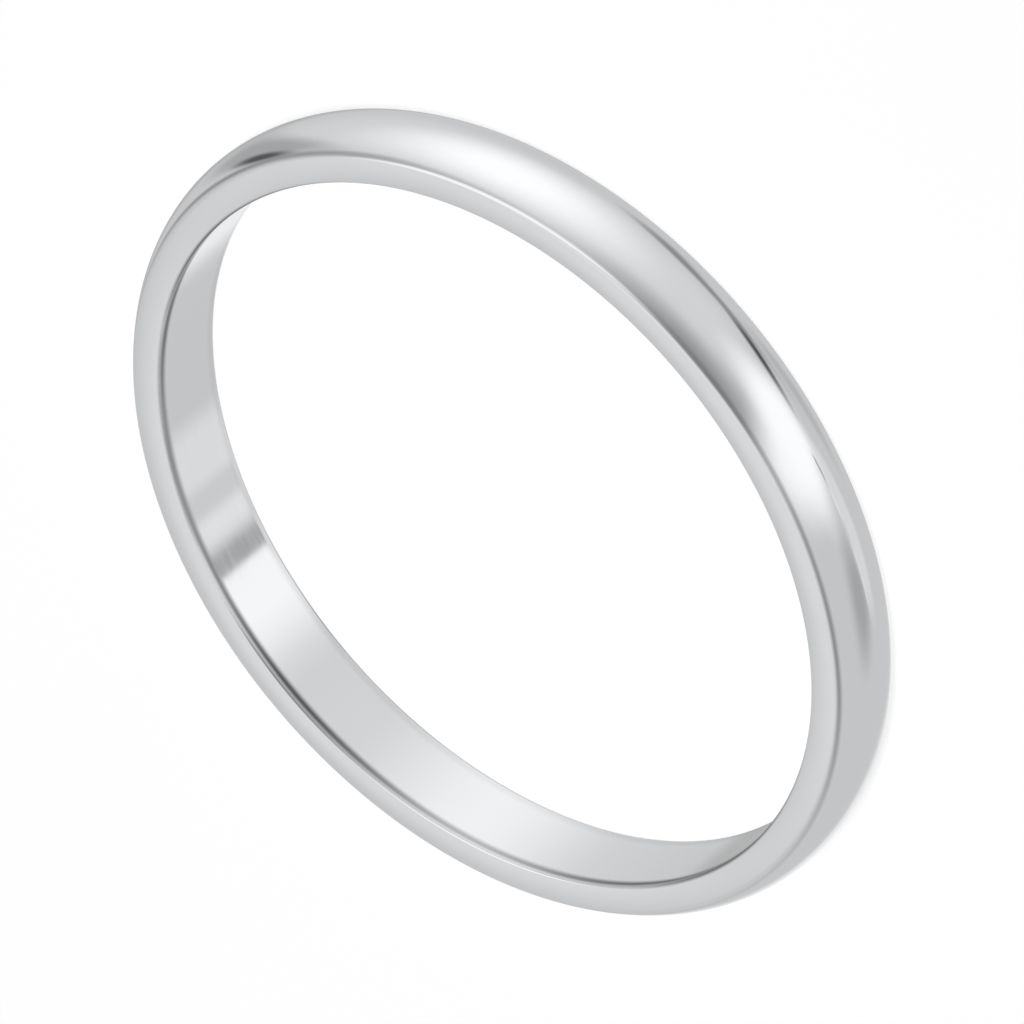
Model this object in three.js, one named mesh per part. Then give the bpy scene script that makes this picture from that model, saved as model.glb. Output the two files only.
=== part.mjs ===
// A plain stackable ring: one slim band of polished silver with a low domed
// outside, flat side faces that sit flush against other bands, and a straight
// finger hole with softened edges. The ring lies on one side face.
// Millimetres, +Z up. The ring's axis is Z, and the origin is the centre of
// the finger hole in the plane of the lower side face.
import * as THREE from "three";

// Driving dimensions, in millimetres. The bore is a US size 7.
const BORE_DIAMETER = 17.3;
const BAND_WIDTH = 2.0; // from one side face to the other
const BAND_THICKNESS = 1.05; // from the bore to the crest of the dome
const DOME_HEIGHT = 0.29; // from the outside of the edge rounding to the crest
const OUTER_EDGE_RADIUS = 0.2; // between a side face and the dome
const BORE_EDGE_RADIUS = 0.15; // between a side face and the bore

// How finely the curved surfaces are faceted.
const STEPS_AROUND = 96;
const STEPS_OVER_DOME = 12;
const STEPS_PER_EDGE = 4;

// Colour and polish of the metal.
const SILVER = { color: 0xd6d8da, roughness: 0.14, metalness: 1.0 };

// The section is drawn with x as the distance from the ring's axis and y as
// the height above the lower side face.
const boreX = BORE_DIAMETER / 2;
const crestX = boreX + BAND_THICKNESS;
const middleY = BAND_WIDTH / 2;

// Centres of the edge roundings, the same distance in from both side faces.
const boreEdgeX = boreX + BORE_EDGE_RADIUS;
const outerEdgeX = crestX - DOME_HEIGHT - OUTER_EDGE_RADIUS;

// The dome is one arc that peaks at the crest and runs smoothly into the
// rounding at each side.
const edgeRise = middleY - OUTER_EDGE_RADIUS;
const domeRadius =
  (edgeRise ** 2 + DOME_HEIGHT ** 2 + 2 * DOME_HEIGHT * OUTER_EDGE_RADIUS) /
  (2 * DOME_HEIGHT);
const domeX = crestX - domeRadius;
const domeHalfAngle = Math.atan2(edgeRise, outerEdgeX - domeX);

// Points along a circular arc of the section.
function arc(x, y, radius, from, to, steps) {
  return new THREE.EllipseCurve(x, y, radius, radius, from, to).getPoints(steps);
}

// The band's section, once round from the bore's lower edge by way of the dome.
function bandSection() {
  const quarter = Math.PI / 2;
  const upperBoreY = BAND_WIDTH - BORE_EDGE_RADIUS;
  const upperOuterY = BAND_WIDTH - OUTER_EDGE_RADIUS;
  const arcs = [
    arc(boreEdgeX, BORE_EDGE_RADIUS, BORE_EDGE_RADIUS, -Math.PI, -quarter, STEPS_PER_EDGE),
    arc(outerEdgeX, OUTER_EDGE_RADIUS, OUTER_EDGE_RADIUS, -quarter, -domeHalfAngle, STEPS_PER_EDGE),
    arc(domeX, middleY, domeRadius, -domeHalfAngle, domeHalfAngle, STEPS_OVER_DOME),
    arc(outerEdgeX, upperOuterY, OUTER_EDGE_RADIUS, domeHalfAngle, quarter, STEPS_PER_EDGE),
    arc(boreEdgeX, upperBoreY, BORE_EDGE_RADIUS, quarter, Math.PI, STEPS_PER_EDGE),
  ];
  // Where two arcs meet, their shared point is kept once.
  const sharedGap = 1e-6;
  const outline = [];
  for (const point of arcs.flat()) {
    const last = outline.at(-1);
    if (!last || last.distanceTo(point) > sharedGap) {
      outline.push(point);
    }
  }
  outline.push(outline[0].clone());
  return outline;
}

// The section turned once round the axis. A lathe turns about Y, so the mesh
// is tipped over to stand its axis along Z.
function makeBand() {
  const geometry = new THREE.LatheGeometry(bandSection(), STEPS_AROUND);
  const band = new THREE.Mesh(geometry, new THREE.MeshStandardMaterial(SILVER));
  band.name = "band";
  band.rotation.x = Math.PI / 2;
  return band;
}

const ring = new THREE.Group();
ring.add(makeBand());

export default ring;
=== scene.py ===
"""A plain stackable ring in polished silver, lying on a white table under soft studio light.

Laid out as an add-on: the sizes, the finish and the light are settings in the sidebar, and
each step is an operator. The shape is drawn as the band's section and spun round the axis.
"""

import math

import bpy
from mathutils import Matrix, Vector


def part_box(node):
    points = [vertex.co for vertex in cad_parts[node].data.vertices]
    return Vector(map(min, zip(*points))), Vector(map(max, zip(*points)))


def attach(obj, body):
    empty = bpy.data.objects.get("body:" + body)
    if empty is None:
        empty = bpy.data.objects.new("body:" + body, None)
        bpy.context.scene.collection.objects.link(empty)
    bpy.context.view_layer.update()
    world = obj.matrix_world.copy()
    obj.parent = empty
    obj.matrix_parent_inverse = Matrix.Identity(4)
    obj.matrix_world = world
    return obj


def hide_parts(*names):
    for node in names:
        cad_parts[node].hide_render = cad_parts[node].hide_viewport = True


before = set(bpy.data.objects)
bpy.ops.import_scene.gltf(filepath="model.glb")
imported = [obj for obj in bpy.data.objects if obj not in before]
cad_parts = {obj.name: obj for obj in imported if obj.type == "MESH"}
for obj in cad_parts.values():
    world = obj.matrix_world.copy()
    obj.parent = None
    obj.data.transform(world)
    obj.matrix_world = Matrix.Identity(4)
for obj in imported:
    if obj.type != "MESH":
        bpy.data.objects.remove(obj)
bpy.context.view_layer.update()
BAND_LOW, BAND_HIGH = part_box("band")

bl_info = {
    "name": "Stackable ring",
    "version": (1, 0, 0),
    "blender": (4, 5, 0),
    "location": "3D View > Sidebar > Ring",
    "description": "Models a slim polished silver ring and its white studio",
    "category": "Object",
}

MM = 0.001
WHITE = (1, 1, 1, 1)

# How finely the arcs of the band's section and the rim of the table are drawn.
EDGE_STEPS = 8
FACE_STEPS = 6
DOME_STEPS = 40
TABLE_CORNERS = 128

# Points closer together than this become one.
WELD_DISTANCE = 0.001 * MM

# How the painted dark reflections along the edges swell round the ring: how many times,
# the bearing in degrees of one swell, and the strength between swells. Below zero, a
# painted reflection is gone for a stretch.
BORE_REFLECTION_SWELLS = (5, 88, 0.55)
SHOULDER_REFLECTION_SWELLS = (3, -8, 0.2)
END_REFLECTION_SWELLS = (2, 0, -3.0)

# Where the painted dark reflection on the bore's edge rounding lies, as a turn from the side
# face.
END_REFLECTION_TURN = math.radians(65)

# The hand polish: cloudy patches with a faint tint, and what is taken off the roughness on
# clean metal and added to it in buffing lines, in patches and in the painted dark reflections
# along the bore.
PATCHES_PER_METRE = 260.0
PATCH_TINT = 0.985
CLEAN_SHINE = 0.015
BUFFING_ROUGHNESS = 0.02
PATCH_ROUGHNESS = 0.02
BORE_REFLECTION_ROUGHNESS = 0.15
BUFFING_STRENGTH = 0.008
BUFFING_DEPTH = 0.01 * MM

# The table top's faint mottle and its matt surface.
MOTTLES_PER_METRE = 90.0
MOTTLE_TINT = 0.995
TABLE_ROUGHNESS = 0.9

# The lamp is a sun, so only its direction and its spread count. It shines from above and
# from the camera's side, and the ring hides most of its own shadow.
LAMP_PLACE = (0, -0.3, 0.5)
LAMP_DIRECTION = Vector((0.0, 0.5, -1.0))
LAMP_SPREAD = math.radians(24)

# How many times nearer and further than the ring the camera still sees.
CLIP_SHARE = 100


class RingShape(bpy.types.PropertyGroup):
    """Sizes of the band."""

    outside_diameter: bpy.props.FloatProperty(
        name="Outside diameter",
        description="Across the ring at the crest of the dome",
        default=BAND_HIGH.x - BAND_LOW.x,
        unit="LENGTH",
    )
    width: bpy.props.FloatProperty(
        name="Width",
        description="From one side face to the other",
        default=BAND_HIGH.z - BAND_LOW.z,
        unit="LENGTH",
    )
    bore_diameter: bpy.props.FloatProperty(
        name="Bore diameter",
        description="Across the finger hole",
        default=17.3 * MM,
        unit="LENGTH",
    )
    dome_height: bpy.props.FloatProperty(
        name="Dome height",
        description="From the outside of the edge rounding to the crest",
        default=0.29 * MM,
        unit="LENGTH",
    )
    outer_edge: bpy.props.FloatProperty(
        name="Outer edge radius",
        description="Rounding between a side face and the dome",
        default=0.2 * MM,
        unit="LENGTH",
    )
    bore_edge: bpy.props.FloatProperty(
        name="Bore edge radius",
        description="Rounding between a side face and the finger hole",
        default=0.08 * MM,
        unit="LENGTH",
        precision=6,
    )
    wall_end: bpy.props.FloatProperty(
        name="Wall end",
        description="Stretch of the bore's wall that turns softly into each edge rounding",
        default=0.12 * MM,
        unit="LENGTH",
        precision=6,
    )
    face_radius: bpy.props.FloatProperty(
        name="Face radius",
        description="Radius of the very slight crown that polishing leaves on a side face",
        default=2.6 * MM,
        unit="LENGTH",
    )
    steps_around: bpy.props.IntProperty(
        name="Steps around",
        description="How many times the section is repeated round the axis",
        default=400,
    )


class RingFinish(bpy.types.PropertyGroup):
    """Colour and polish of the metal, and the painted dark reflections along its edges."""

    silver: bpy.props.FloatVectorProperty(
        name="Silver",
        description="Colour of the clean polished metal",
        default=(0.915, 0.925, 0.94),
        subtype="COLOR",
        min=0,
        max=1,
    )
    # Painted dark reflection: the colour of a line where the finger hole meets its edge rounding,
    # standing in for something dark that the metal mirrors there.
    bore_painted_reflection: bpy.props.FloatVectorProperty(
        name="Bore line",
        description="Colour of the dark line where the finger hole meets its edge rounding",
        default=(0.12, 0.125, 0.135),
        subtype="COLOR",
        min=0,
        max=1,
    )
    # Painted dark reflection: the grey line where the dome meets its edge rounding stands in for
    # something dark that the metal mirrors there.
    shoulder_painted_reflection: bpy.props.FloatVectorProperty(
        name="Shoulder line",
        description="Colour of the grey line where the dome meets its edge rounding",
        default=(0.42, 0.425, 0.435),
        subtype="COLOR",
        min=0,
        max=1,
    )
    # Widths and places of the painted dark reflections along the edges.
    bore_painted_reflection_width: bpy.props.FloatProperty(
        name="Bore line width",
        description="From the middle of the bore line to where it has faded out",
        default=0.16 * MM,
        unit="LENGTH",
        precision=6,
    )
    shoulder_painted_reflection_width: bpy.props.FloatProperty(
        name="Shoulder line width",
        description="From the middle of the shoulder line to where it has faded out",
        default=0.1 * MM,
        unit="LENGTH",
        precision=6,
    )
    end_painted_reflection_width: bpy.props.FloatProperty(
        name="End line width",
        description="From the middle of the line on the bore's edge rounding to its faded edge",
        default=0.09 * MM,
        unit="LENGTH",
        precision=6,
    )
    bore_painted_reflection_offset: bpy.props.FloatProperty(
        name="Bore line offset",
        description="How far inside the finger hole its line lies from the edge rounding",
        default=0.065 * MM,
        unit="LENGTH",
        precision=6,
    )
    shoulder_painted_reflection_offset: bpy.props.FloatProperty(
        name="Shoulder line offset",
        description="How far out on the dome its line lies from the edge rounding",
        default=0.01 * MM,
        unit="LENGTH",
        precision=6,
    )
    # How strong the painted dark reflections along the lower edges are, against the upper ones.
    lower_painted_reflections: bpy.props.FloatProperty(
        name="Lower lines",
        description="Strength of the lines along the lower edges, against the upper ones",
        default=0.12,
        subtype="FACTOR",
        min=0,
        max=1,
    )
    roughness: bpy.props.FloatProperty(
        name="Roughness",
        description="Roughness of the polished metal",
        default=0.07,
        subtype="FACTOR",
        min=0,
        max=1,
    )


class RingStudio(bpy.types.PropertyGroup):
    """The camera, the floor and the light."""

    elevation: bpy.props.FloatProperty(
        name="Elevation",
        description="How far the camera looks down on the side face",
        default=math.radians(38.07),
        subtype="ANGLE",
    )
    roll: bpy.props.FloatProperty(
        name="Roll",
        description="How far the picture is turned, counter-clockwise",
        default=math.radians(130.13),
        subtype="ANGLE",
    )
    picture_width: bpy.props.FloatProperty(
        name="Picture width",
        description="Width of what the camera sees, without perspective as in the photo",
        default=21.7 * MM,
        unit="LENGTH",
    )
    camera_distance: bpy.props.FloatProperty(
        name="Camera distance",
        description="From the camera to the middle of the ring",
        default=0.2,
        unit="LENGTH",
    )
    floor_radius: bpy.props.FloatProperty(
        name="Floor radius",
        description="Radius of the white table",
        default=1.2,
        unit="LENGTH",
    )
    floor_colour: bpy.props.FloatVectorProperty(
        name="Floor colour",
        description="Colour of the white table",
        default=(0.93, 0.93, 0.93),
        subtype="COLOR",
        min=0,
        max=1,
    )
    floor_glow: bpy.props.FloatProperty(
        name="Floor glow",
        description="Light that the white table gives by itself, like a photographer's light box",
        default=0.55,
    )
    sky: bpy.props.FloatProperty(
        name="Sky",
        description="Strength of the even light that falls on the floor",
        default=0.2,
    )
    backdrop: bpy.props.FloatProperty(
        name="Backdrop",
        description="Brightness of the white beyond the table's edge, like that of the table",
        default=0.995,
    )
    lamp_strength: bpy.props.FloatProperty(
        name="Lamp strength",
        description="Strength of the soft lamp that gives the floor its shadow",
        default=0.97,
    )


def socket(tree, name, direction, kind, value=None):
    """Adds a named socket to a node group."""
    made = tree.interface.new_socket(name=name, in_out=direction, socket_type=kind)
    if value is not None:
        made.default_value = value
    return made


class Nodes:
    """Adds nodes to a tree and joins them, with plain calls."""

    def __init__(self, tree):
        self.tree = tree

    def add(self, kind, **settings):
        node = self.tree.nodes.new(kind)
        for name, value in settings.items():
            setattr(node, name, value)
        return node

    def put(self, node, name, value):
        """Sets a socket to a value, or joins another node's socket to it."""
        target = node.inputs[name]
        if isinstance(value, bpy.types.NodeSocket):
            self.tree.links.new(value, target)
        else:
            target.default_value = value

    def math(self, operation, *values, clamp=False):
        node = self.add("ShaderNodeMath", operation=operation, use_clamp=clamp)
        for place, value in enumerate(values):
            self.put(node, place, value)
        return node.outputs["Value"]

    def vector(self, operation, output, *values):
        node = self.add("ShaderNodeVectorMath", operation=operation)
        for place, value in enumerate(values):
            self.put(node, place, value)
        return node.outputs[output]

    def split(self, value):
        node = self.add("ShaderNodeSeparateXYZ")
        self.put(node, "Vector", value)
        return node.outputs

    def combine(self, x, y, z):
        node = self.add("ShaderNodeCombineXYZ")
        for name, value in zip("XYZ", (x, y, z)):
            self.put(node, name, value)
        return node.outputs["Vector"]

    def ramp(self, value, low, high, to_low=0.0, to_high=1.0, smooth=True):
        kind = "SMOOTHSTEP" if smooth else "LINEAR"
        node = self.add("ShaderNodeMapRange", interpolation_type=kind)
        names = ("Value", "From Min", "From Max", "To Min", "To Max")
        for name, part in zip(names, (value, low, high, to_low, to_high)):
            self.put(node, name, part)
        return node.outputs["Result"]

    def mix(self, factor, first, second):
        node = self.add("ShaderNodeMix", data_type="FLOAT")
        self.put(node, "Factor", factor)
        self.put(node, "A", first)
        self.put(node, "B", second)
        return node.outputs["Result"]

    def mix_colour(self, factor, first, second):
        """Mixes two colours, whose sockets go by number because others have the same names."""
        node = self.add("ShaderNodeMix", data_type="RGBA")
        self.tree.links.new(factor, node.inputs[0])
        for place, value in ((6, first), (7, second)):
            if isinstance(value, bpy.types.NodeSocket):
                self.tree.links.new(value, node.inputs[place])
            else:
                node.inputs[place].default_value = (*value[:3], 1)
        return node.outputs[2]

    def noise(self, vector, scale, detail=2.0, roughness=0.5):
        node = self.add("ShaderNodeTexNoise")
        self.put(node, "Vector", vector)
        self.put(node, "Scale", scale)
        self.put(node, "Detail", detail)
        self.put(node, "Roughness", roughness)
        return node.outputs["Fac"]


def painted_edge_reflection_group():
    """A painted dark reflection's mask: a soft line along a circle round the axis, stronger in
    some stretches than in others.
    """
    tree = bpy.data.node_groups.new("painted_edge_reflection", "ShaderNodeTree")
    socket(tree, "Vector", "INPUT", "NodeSocketVector")
    for name in ("Distance", "Height", "Half width", "Stretches", "First stretch", "Least"):
        socket(tree, name, "INPUT", "NodeSocketFloat", 0.0)
    socket(tree, "Mask", "OUTPUT", "NodeSocketFloat")
    n = Nodes(tree)
    given = n.add("NodeGroupInput").outputs
    x, y, z = n.split(given["Vector"])
    outward = n.vector("LENGTH", "Value", n.combine(x, y, 0.0))
    aside = n.math("SUBTRACT", outward, given["Distance"])
    above = n.math("SUBTRACT", z, given["Height"])
    away = n.vector("LENGTH", "Value", n.combine(aside, above, 0.0))
    line = n.ramp(away, given["Half width"], 0.0)
    turn = n.math("SUBTRACT", n.math("ARCTAN2", y, x), given["First stretch"])
    wave = n.math("COSINE", n.math("MULTIPLY", turn, given["Stretches"]))
    strength = n.ramp(wave, -1.0, 1.0, given["Least"], 1.0, smooth=False)
    n.put(n.add("NodeGroupOutput"), "Mask", n.math("MULTIPLY", line, strength))
    return tree


def buffing_group():
    """Fine lines that a polishing wheel leaves round the ring, from 0 to 1."""
    tree = bpy.data.node_groups.new("buffing_lines", "ShaderNodeTree")
    socket(tree, "Vector", "INPUT", "NodeSocketVector")
    socket(tree, "Lines per metre", "INPUT", "NodeSocketFloat", 9000.0)
    socket(tree, "Breaks", "INPUT", "NodeSocketFloat", 6.0)
    socket(tree, "Lines", "OUTPUT", "NodeSocketFloat")
    n = Nodes(tree)
    given = n.add("NodeGroupInput").outputs
    x, y, z = n.split(given["Vector"])
    outward = n.vector("LENGTH", "Value", n.combine(x, y, 0.0))
    across = n.math("MULTIPLY", n.math("ADD", outward, z), given["Lines per metre"])
    along_x = n.math("MULTIPLY", n.math("DIVIDE", x, outward), given["Breaks"])
    along_y = n.math("MULTIPLY", n.math("DIVIDE", y, outward), given["Breaks"])
    lines = n.noise(n.combine(along_x, along_y, across), 1.0, detail=3.0, roughness=0.6)
    n.put(n.add("NodeGroupOutput"), "Lines", n.ramp(lines, 0.3, 0.7))
    return tree


def panel_group():
    """A soft-edged oval light in the sky, by its bearing and height, as a mask."""
    tree = bpy.data.node_groups.new("soft_panel", "ShaderNodeTree")
    for name in ("Bearing", "Height", "Centre bearing", "Centre height", "Tilt"):
        socket(tree, name, "INPUT", "NodeSocketFloat", 0.0)
    for name in ("Half width", "Half height", "Feather"):
        socket(tree, name, "INPUT", "NodeSocketFloat", 1.0)
    socket(tree, "Mask", "OUTPUT", "NodeSocketFloat")
    n = Nodes(tree)
    given = n.add("NodeGroupInput").outputs
    turn = n.math("SUBTRACT", given["Bearing"], given["Centre bearing"])
    turn = n.math("WRAP", turn, math.pi, -math.pi)
    rise = n.math("SUBTRACT", given["Height"], given["Centre height"])
    tilted = n.add("ShaderNodeVectorRotate", rotation_type="Z_AXIS", invert=True)
    n.put(tilted, "Vector", n.combine(turn, rise, 0.0))
    n.put(tilted, "Angle", given["Tilt"])
    half_size = n.combine(given["Half width"], given["Half height"], 1.0)
    share = n.vector("DIVIDE", "Vector", tilted.outputs["Vector"], half_size)
    away = n.vector("LENGTH", "Value", share)
    outer = n.math("ADD", 1.0, given["Feather"])
    inner = n.math("SUBTRACT", 1.0, given["Feather"])
    n.put(n.add("NodeGroupOutput"), "Mask", n.ramp(away, outer, inner))
    return tree


def painted_edge_reflections(n, group, place, circles, half_width, lower, swells):
    """The mask of two like painted dark reflections, the lower one fainter, one beside each side
    face.
    """
    stretches, first, least = swells
    masks = []
    for (distance, height), strength in zip(circles, (lower, 1.0)):
        line = n.add("ShaderNodeGroup", node_tree=group)
        n.put(line, "Vector", place)
        n.put(line, "Distance", distance)
        n.put(line, "Height", height)
        n.put(line, "Half width", half_width)
        n.put(line, "Stretches", stretches)
        n.put(line, "First stretch", math.radians(first))
        n.put(line, "Least", least)
        masks.append(n.math("MULTIPLY", line.outputs["Mask"], strength))
    return n.math("MAXIMUM", *masks)


def polished_silver(shape, finish):
    """Mirror-polished silver: buffing lines, faint hand marks, and painted dark reflections along
    the edges.
    """
    material = bpy.data.materials.new("polished_silver")
    material.use_nodes = True
    tree = material.node_tree
    tree.nodes.clear()
    n = Nodes(tree)
    place = n.add("ShaderNodeTexCoord").outputs["Object"]

    section = band_section(shape, finish.bore_painted_reflection_offset, finish.shoulder_painted_reflection_offset)
    group = painted_edge_reflection_group()
    lower = finish.lower_painted_reflections
    bore_painted_reflections = painted_edge_reflections(
        n, group, place, section["bore_painted_reflections"], finish.bore_painted_reflection_width, lower, BORE_REFLECTION_SWELLS
    )
    # At two opposite places, the painted dark reflection along the bore spreads over the bore's
    # edge rounding.
    end_painted_reflections = painted_edge_reflections(
        n, group, place, section["end_painted_reflections"], finish.end_painted_reflection_width, lower, END_REFLECTION_SWELLS
    )
    bore_painted_reflections = n.math("MAXIMUM", bore_painted_reflections, end_painted_reflections)
    shoulder_reflection_circles = section["shoulder_painted_reflections"]
    width = finish.shoulder_painted_reflection_width
    shoulder_painted_reflections = painted_edge_reflections(n, group, place, shoulder_reflection_circles, width, lower, SHOULDER_REFLECTION_SWELLS)

    buffing = n.add("ShaderNodeGroup", node_tree=buffing_group())
    n.put(buffing, "Vector", place)
    lines = buffing.outputs["Lines"]
    haze = n.noise(place, PATCHES_PER_METRE, detail=4.0)
    patches = n.ramp(haze, 0.35, 0.7)

    tinted = [part * PATCH_TINT for part in finish.silver]
    tint = n.mix_colour(patches, finish.silver, tinted)
    # Painted dark reflections along the shoulders and the bore darken the metal's colour.
    colour = n.mix_colour(shoulder_painted_reflections, tint, finish.shoulder_painted_reflection)
    colour = n.mix_colour(bore_painted_reflections, colour, finish.bore_painted_reflection)
    clean = finish.roughness - CLEAN_SHINE
    roughness = n.math("MULTIPLY_ADD", lines, BUFFING_ROUGHNESS, clean)
    roughness = n.math("MULTIPLY_ADD", patches, PATCH_ROUGHNESS, roughness)
    roughness = n.math("MULTIPLY_ADD", bore_painted_reflections, BORE_REFLECTION_ROUGHNESS, roughness, clamp=True)

    bump = n.add("ShaderNodeBump")
    n.put(bump, "Strength", BUFFING_STRENGTH)
    n.put(bump, "Distance", BUFFING_DEPTH)
    n.put(bump, "Height", lines)

    shader = n.add("ShaderNodeBsdfPrincipled")
    n.put(shader, "Base Color", colour)
    n.put(shader, "Metallic", 1.0)
    n.put(shader, "Roughness", roughness)
    n.put(shader, "Normal", bump.outputs["Normal"])
    n.put(n.add("ShaderNodeOutputMaterial"), "Surface", shader.outputs["BSDF"])
    return material


def white_table(studio):
    """Matt white table top, faintly mottled and lit a little from inside."""
    material = bpy.data.materials.new("white_table")
    material.use_nodes = True
    tree = material.node_tree
    tree.nodes.clear()
    n = Nodes(tree)
    place = n.add("ShaderNodeTexCoord").outputs["Object"]
    mottle = n.ramp(n.noise(place, MOTTLES_PER_METRE), 0.3, 0.7)
    darker = [part * MOTTLE_TINT for part in studio.floor_colour]
    shader = n.add("ShaderNodeBsdfPrincipled")
    n.put(shader, "Base Color", n.mix_colour(mottle, studio.floor_colour, darker))
    n.put(shader, "Roughness", TABLE_ROUGHNESS)
    n.put(shader, "Specular IOR Level", 0.0)
    n.put(shader, "Emission Color", WHITE)
    n.put(shader, "Emission Strength", studio.floor_glow)
    n.put(n.add("ShaderNodeOutputMaterial"), "Surface", shader.outputs["BSDF"])
    return material


def band_section(shape, bore_offset=0.0, shoulder_offset=0.0):
    """The section's arcs, by their centres and angles, and the circles of its painted dark
    reflections.

    x is the distance from the axis and z the height above the lower side face. The arcs run
    smoothly into each other, and the upper half mirrors the lower one.
    """
    bore = shape.bore_diameter / 2
    crest = shape.outside_diameter / 2
    middle = shape.width / 2
    bore_edge_x = bore + shape.bore_edge
    edge_x = crest - shape.dome_height - shape.outer_edge

    # The side face leans a little at both ends, because of its slight crown.
    face_x = (bore_edge_x + edge_x) / 2
    to_bore_edge = shape.face_radius - shape.bore_edge
    to_outer_edge = shape.face_radius - shape.outer_edge
    inner_lean = math.asin((face_x - bore_edge_x) / to_bore_edge)
    outer_lean = math.asin((edge_x - face_x) / to_outer_edge)
    bore_edge_z = shape.face_radius - to_bore_edge * math.cos(inner_lean)
    edge_z = shape.face_radius - to_outer_edge * math.cos(outer_lean)

    # The dome peaks at the crest and touches both outer edge roundings.
    rise = middle - edge_z
    dome_radius = (
        rise**2 + shape.dome_height**2 + 2 * shape.dome_height * shape.outer_edge
    ) / (2 * shape.dome_height)
    dome_x = crest - dome_radius
    half_angle = math.atan2(rise, edge_x - dome_x)

    bore_painted_reflection_z = bore_edge_z + bore_offset
    end_painted_reflection_x = bore_edge_x - shape.bore_edge * math.sin(END_REFLECTION_TURN)
    end_painted_reflection_z = bore_edge_z - shape.bore_edge * math.cos(END_REFLECTION_TURN)
    out, up = math.cos(half_angle), math.sin(half_angle)
    shoulder_x = edge_x + shape.outer_edge * out + shoulder_offset * up
    shoulder_z = edge_z - shape.outer_edge * up + shoulder_offset * out
    return {
        "bore": bore,
        "middle": middle,
        "bore_edge": (bore_edge_x, bore_edge_z),
        "inner_lean": inner_lean,
        "face_x": face_x,
        "outer_lean": outer_lean,
        "edge": (edge_x, edge_z),
        "dome_x": dome_x,
        "half_angle": half_angle,
        "bore_painted_reflections": [(bore, bore_painted_reflection_z), (bore, shape.width - bore_painted_reflection_z)],
        "end_painted_reflections": [(end_painted_reflection_x, end_painted_reflection_z), (end_painted_reflection_x, shape.width - end_painted_reflection_z)],
        "shoulder_painted_reflections": [(shoulder_x, shoulder_z), (shoulder_x, shape.width - shoulder_z)],
    }


def spin_point(x, z, angle, steps):
    """Spins the selected point round (x, z) in the section plane, leaving an arc."""
    bpy.ops.mesh.spin(steps=steps, angle=angle, center=(x, 0, z), axis=(0, 1, 0))


def slide_point(x, z):
    """Draws a straight line on from the selected point."""
    bpy.ops.mesh.extrude_region_move(TRANSFORM_OT_translate={"value": (x, 0, z)})


class RING_OT_make_band(bpy.types.Operator):
    """Draws the band's section, spins it round the axis and polishes it"""

    bl_idname = "stackable_ring.make_band"
    bl_label = "Make the band"

    def execute(self, context):
        shape = context.scene.ring_shape
        section = band_section(shape)
        bore_edge_x, bore_edge_z = section["bore_edge"]
        edge_x, edge_z = section["edge"]
        half_angle = section["half_angle"]
        bore_turn = math.pi / 2 - section["inner_lean"]
        face_turn = section["inner_lean"] + section["outer_lean"]
        outer_turn = math.pi / 2 - section["outer_lean"] - half_angle

        # One point where the bore meets its lower edge rounding.
        bpy.ops.object.select_all(action="DESELECT")
        bpy.ops.mesh.primitive_plane_add(
            size=shape.bore_edge, location=(section["bore"], 0, bore_edge_z)
        )
        band = context.object
        band.name = "ring_band"
        bpy.ops.object.transform_apply(location=True, rotation=True, scale=True)
        bpy.ops.object.mode_set(mode="EDIT")
        bpy.ops.mesh.select_all(action="SELECT")
        bpy.ops.mesh.merge(type="CENTER")

        # Once round the section, by way of the dome.
        top = shape.width
        spin_point(bore_edge_x, bore_edge_z, bore_turn, EDGE_STEPS)
        spin_point(section["face_x"], shape.face_radius, face_turn, FACE_STEPS)
        spin_point(edge_x, edge_z, outer_turn, EDGE_STEPS)
        spin_point(section["dome_x"], section["middle"], 2 * half_angle, DOME_STEPS)
        spin_point(edge_x, top - edge_z, outer_turn, EDGE_STEPS)
        spin_point(section["face_x"], top - shape.face_radius, face_turn, FACE_STEPS)
        spin_point(bore_edge_x, top - bore_edge_z, bore_turn, EDGE_STEPS)
        slide_point(0, -shape.wall_end)
        slide_point(0, 2 * (bore_edge_z + shape.wall_end) - top)
        slide_point(0, -shape.wall_end)

        # The section once round the axis.
        bpy.ops.mesh.select_all(action="SELECT")
        bpy.ops.mesh.remove_doubles(threshold=WELD_DISTANCE)
        bpy.ops.mesh.select_all(action="SELECT")
        bpy.ops.mesh.spin(
            steps=shape.steps_around, angle=2 * math.pi, center=(0, 0, 0), axis=(0, 0, 1)
        )
        bpy.ops.mesh.select_all(action="SELECT")
        bpy.ops.mesh.remove_doubles(threshold=WELD_DISTANCE)
        bpy.ops.mesh.normals_make_consistent(inside=False)
        bpy.ops.object.mode_set(mode="OBJECT")
        bpy.ops.object.shade_smooth()

        band.data.materials.clear()
        band.data.materials.append(polished_silver(shape, context.scene.ring_finish))
        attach(band, "root")
        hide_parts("band")
        return {"FINISHED"}


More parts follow.
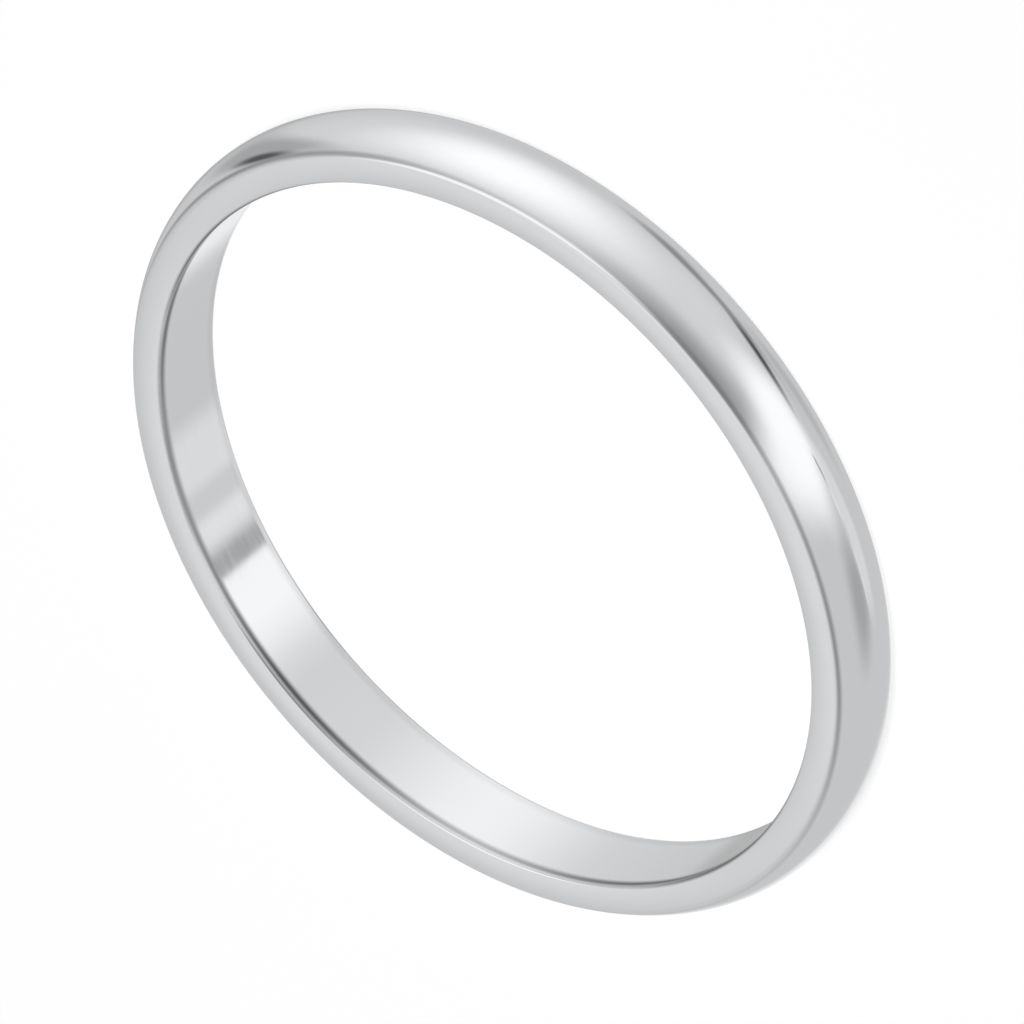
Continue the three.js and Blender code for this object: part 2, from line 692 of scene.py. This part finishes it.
# The soft lights and dark cards of the studio, as the metal mirrors them. Bearing is
# counter-clockwise from +X and height is above the horizon, like all angles here in degrees.
# Feather is the share of the half sizes over which a card fades in and out, tilt turns it
# counter-clockwise, and level is its brightness. Later cards lie over earlier ones, and
# where there is none, the level is the bare studio's.
BARE_STUDIO = 0.60
PANELS = (
    # name, bearing, height, half width, half height, feather, tilt, level
    ("left wall", 195, 60, 55, 24, 0.6, 0, 0.78),
    ("overhead", 0, 85, 180, 32, 0.6, 0, 0.79),
    ("sky behind", 90, 52, 60, 15, 0.7, 0, 0.74),
    ("right fill", 325, -20, 75, 45, 0.4, 0, 0.70),
    ("ground side", 107, -37, 15, 9, 0.8, 0, 0.88),
    ("ground shade side", 72, -37, 12, 10, 0.6, 0, 0.47),
    ("ground shade", 200, -80, 60, 8, 0.6, 0, 0.49),
    ("wedge shade", 38, -12, 27, 7.5, 0.5, -46, 0.40),
    ("wedge", 36, -2.5, 10, 2.8, 0.6, -46, 0.09),
    ("left shade", 197, -24, 14, 14, 0.7, 0, 0.40),
    ("left bounce", 207, -46, 27, 10, 0.3, 0, 0.72),
    ("flag above", 268, 48, 30, 27, 0.8, -6, 0.30),
    ("key", 238, 0, 13, 40, 0.7, 8, 1.00),
    ("key low", 243, -19, 20, 24, 0.6, 0, 1.05),
    ("side", 332, -12, 28, 32, 0.8, 0, 1.08),
    ("high right", 345, 50, 50, 13, 0.4, 0, 1.08),
    ("table edge", 260, -60.5, 18, 5, 0.7, -30, 0.08),
    ("table edge right", 305, -73, 52, 5.5, 0.7, -5, 0.28),
    ("low light", 196, -38, 11, 1.3, 0.5, 0, 0.765),
    ("low shade", 209, -38, 4, 1.3, 0.6, 0, 0.63),
    ("low glint", 217.5, -38, 3.5, 1.3, 0.6, 0, 0.82),
    ("flag low", 228, -38, 4.5, 1.3, 0.6, 0, 0.36),
    ("key edge", 239.5, -38, 8, 1.3, 0.15, 0, 1.0),
)


def studio_light(scene, studio):
    """The sky: what the metal mirrors is the studio, and all else gets an even white."""
    world = bpy.data.worlds.new("studio")
    world.use_nodes = True
    tree = world.node_tree
    tree.nodes.clear()
    n = Nodes(tree)
    x, y, z = n.split(n.add("ShaderNodeTexCoord").outputs["Generated"])
    bearing = n.math("ARCTAN2", y, x)
    height = n.math("ARCSINE", z)
    group = panel_group()
    level = BARE_STUDIO
    for name, centre, above, half_width, half_height, feather, tilt, bright in PANELS:
        panel = n.add("ShaderNodeGroup", node_tree=group, label=name)
        n.put(panel, "Bearing", bearing)
        n.put(panel, "Height", height)
        n.put(panel, "Centre bearing", math.radians(centre))
        n.put(panel, "Centre height", math.radians(above))
        n.put(panel, "Half width", math.radians(half_width))
        n.put(panel, "Half height", math.radians(half_height))
        n.put(panel, "Feather", feather)
        n.put(panel, "Tilt", math.radians(tilt))
        level = n.mix(panel.outputs["Mask"], level, bright)
    rays = n.add("ShaderNodeLightPath").outputs
    mirrored = n.add("ShaderNodeBackground")
    n.put(mirrored, "Color", WHITE)
    n.put(mirrored, "Strength", level)
    even = n.add("ShaderNodeBackground")
    n.put(even, "Color", WHITE)
    n.put(even, "Strength", n.mix(rays["Is Camera Ray"], studio.sky, studio.backdrop))
    sky = n.add("ShaderNodeMixShader")
    n.put(sky, "Fac", rays["Is Glossy Ray"])
    n.put(sky, 1, even.outputs["Background"])
    n.put(sky, 2, mirrored.outputs["Background"])
    n.put(n.add("ShaderNodeOutputWorld"), "Surface", sky.outputs["Shader"])
    scene.world = world


class RING_OT_make_studio(bpy.types.Operator):
    """Sets the camera, the white table and the soft light"""

    bl_idname = "stackable_ring.make_studio"
    bl_label = "Make the studio"

    def execute(self, context):
        scene = context.scene
        studio = scene.ring_studio
        bpy.ops.object.select_all(action="DESELECT")

        bpy.ops.mesh.primitive_circle_add(
            vertices=TABLE_CORNERS,
            radius=studio.floor_radius,
            fill_type="NGON",
            location=(0, 0, 0),
        )
        table = context.object
        table.name = "white_table"
        table.data.materials.append(white_table(studio))
        table.visible_glossy = False

        bpy.ops.object.light_add(type="SUN", location=LAMP_PLACE)
        lamp = context.object
        lamp.name = "soft_lamp"
        lamp.rotation_euler = LAMP_DIRECTION.to_track_quat("-Z", "Y").to_euler()
        lamp.data.energy = studio.lamp_strength
        lamp.data.angle = LAMP_SPREAD
        lamp.visible_glossy = False

        studio_light(scene, studio)

        target = Vector((0, 0, scene.ring_shape.width / 2))
        back = Vector((0, -math.cos(studio.elevation), math.sin(studio.elevation)))
        camera_data = bpy.data.cameras.new("camera")
        camera_data.type = "ORTHO"
        camera_data.ortho_scale = studio.picture_width
        camera_data.clip_start = studio.camera_distance / CLIP_SHARE
        camera_data.clip_end = studio.camera_distance * CLIP_SHARE
        camera = bpy.data.objects.new("camera", camera_data)
        turned = Matrix.Rotation(-studio.roll, 4, "Z")
        camera.matrix_world = (
            Matrix.Translation(target + back * studio.camera_distance)
            @ (-back).to_track_quat("-Z", "Y").to_matrix().to_4x4()
            @ turned
        )
        scene.collection.objects.link(camera)
        scene.camera = camera

        scene.view_settings.view_transform = "Standard"
        scene.view_settings.look = "None"
        return {"FINISHED"}


class RING_PT_panel(bpy.types.Panel):
    """The ring's sizes, finish and studio, and the steps that make them"""

    bl_label = "Stackable ring"
    bl_idname = "RING_PT_panel"
    bl_space_type = "VIEW_3D"
    bl_region_type = "UI"
    bl_category = "Ring"

    def draw(self, context):
        layout = self.layout
        for title, group, step in (
            ("Shape", "ring_shape", RING_OT_make_band),
            ("Finish", "ring_finish", None),
            ("Studio", "ring_studio", RING_OT_make_studio),
        ):
            box = layout.box()
            box.label(text=title)
            settings = getattr(context.scene, group)
            for name in settings.__annotations__:
                box.prop(settings, name)
            if step:
                box.operator(step.bl_idname)


CLASSES = (
    RingShape,
    RingFinish,
    RingStudio,
    RING_OT_make_band,
    RING_OT_make_studio,
    RING_PT_panel,
)
SETTINGS = {"ring_shape": RingShape, "ring_finish": RingFinish, "ring_studio": RingStudio}


def register():
    for each in CLASSES:
        bpy.utils.register_class(each)
    for name, group in SETTINGS.items():
        setattr(bpy.types.Scene, name, bpy.props.PointerProperty(type=group))


def unregister():
    for name in SETTINGS:
        delattr(bpy.types.Scene, name)
    for each in reversed(CLASSES):
        bpy.utils.unregister_class(each)


def main():
    register()
    bpy.ops.stackable_ring.make_studio()
    bpy.ops.stackable_ring.make_band()


if __name__ == "__main__":
    main()
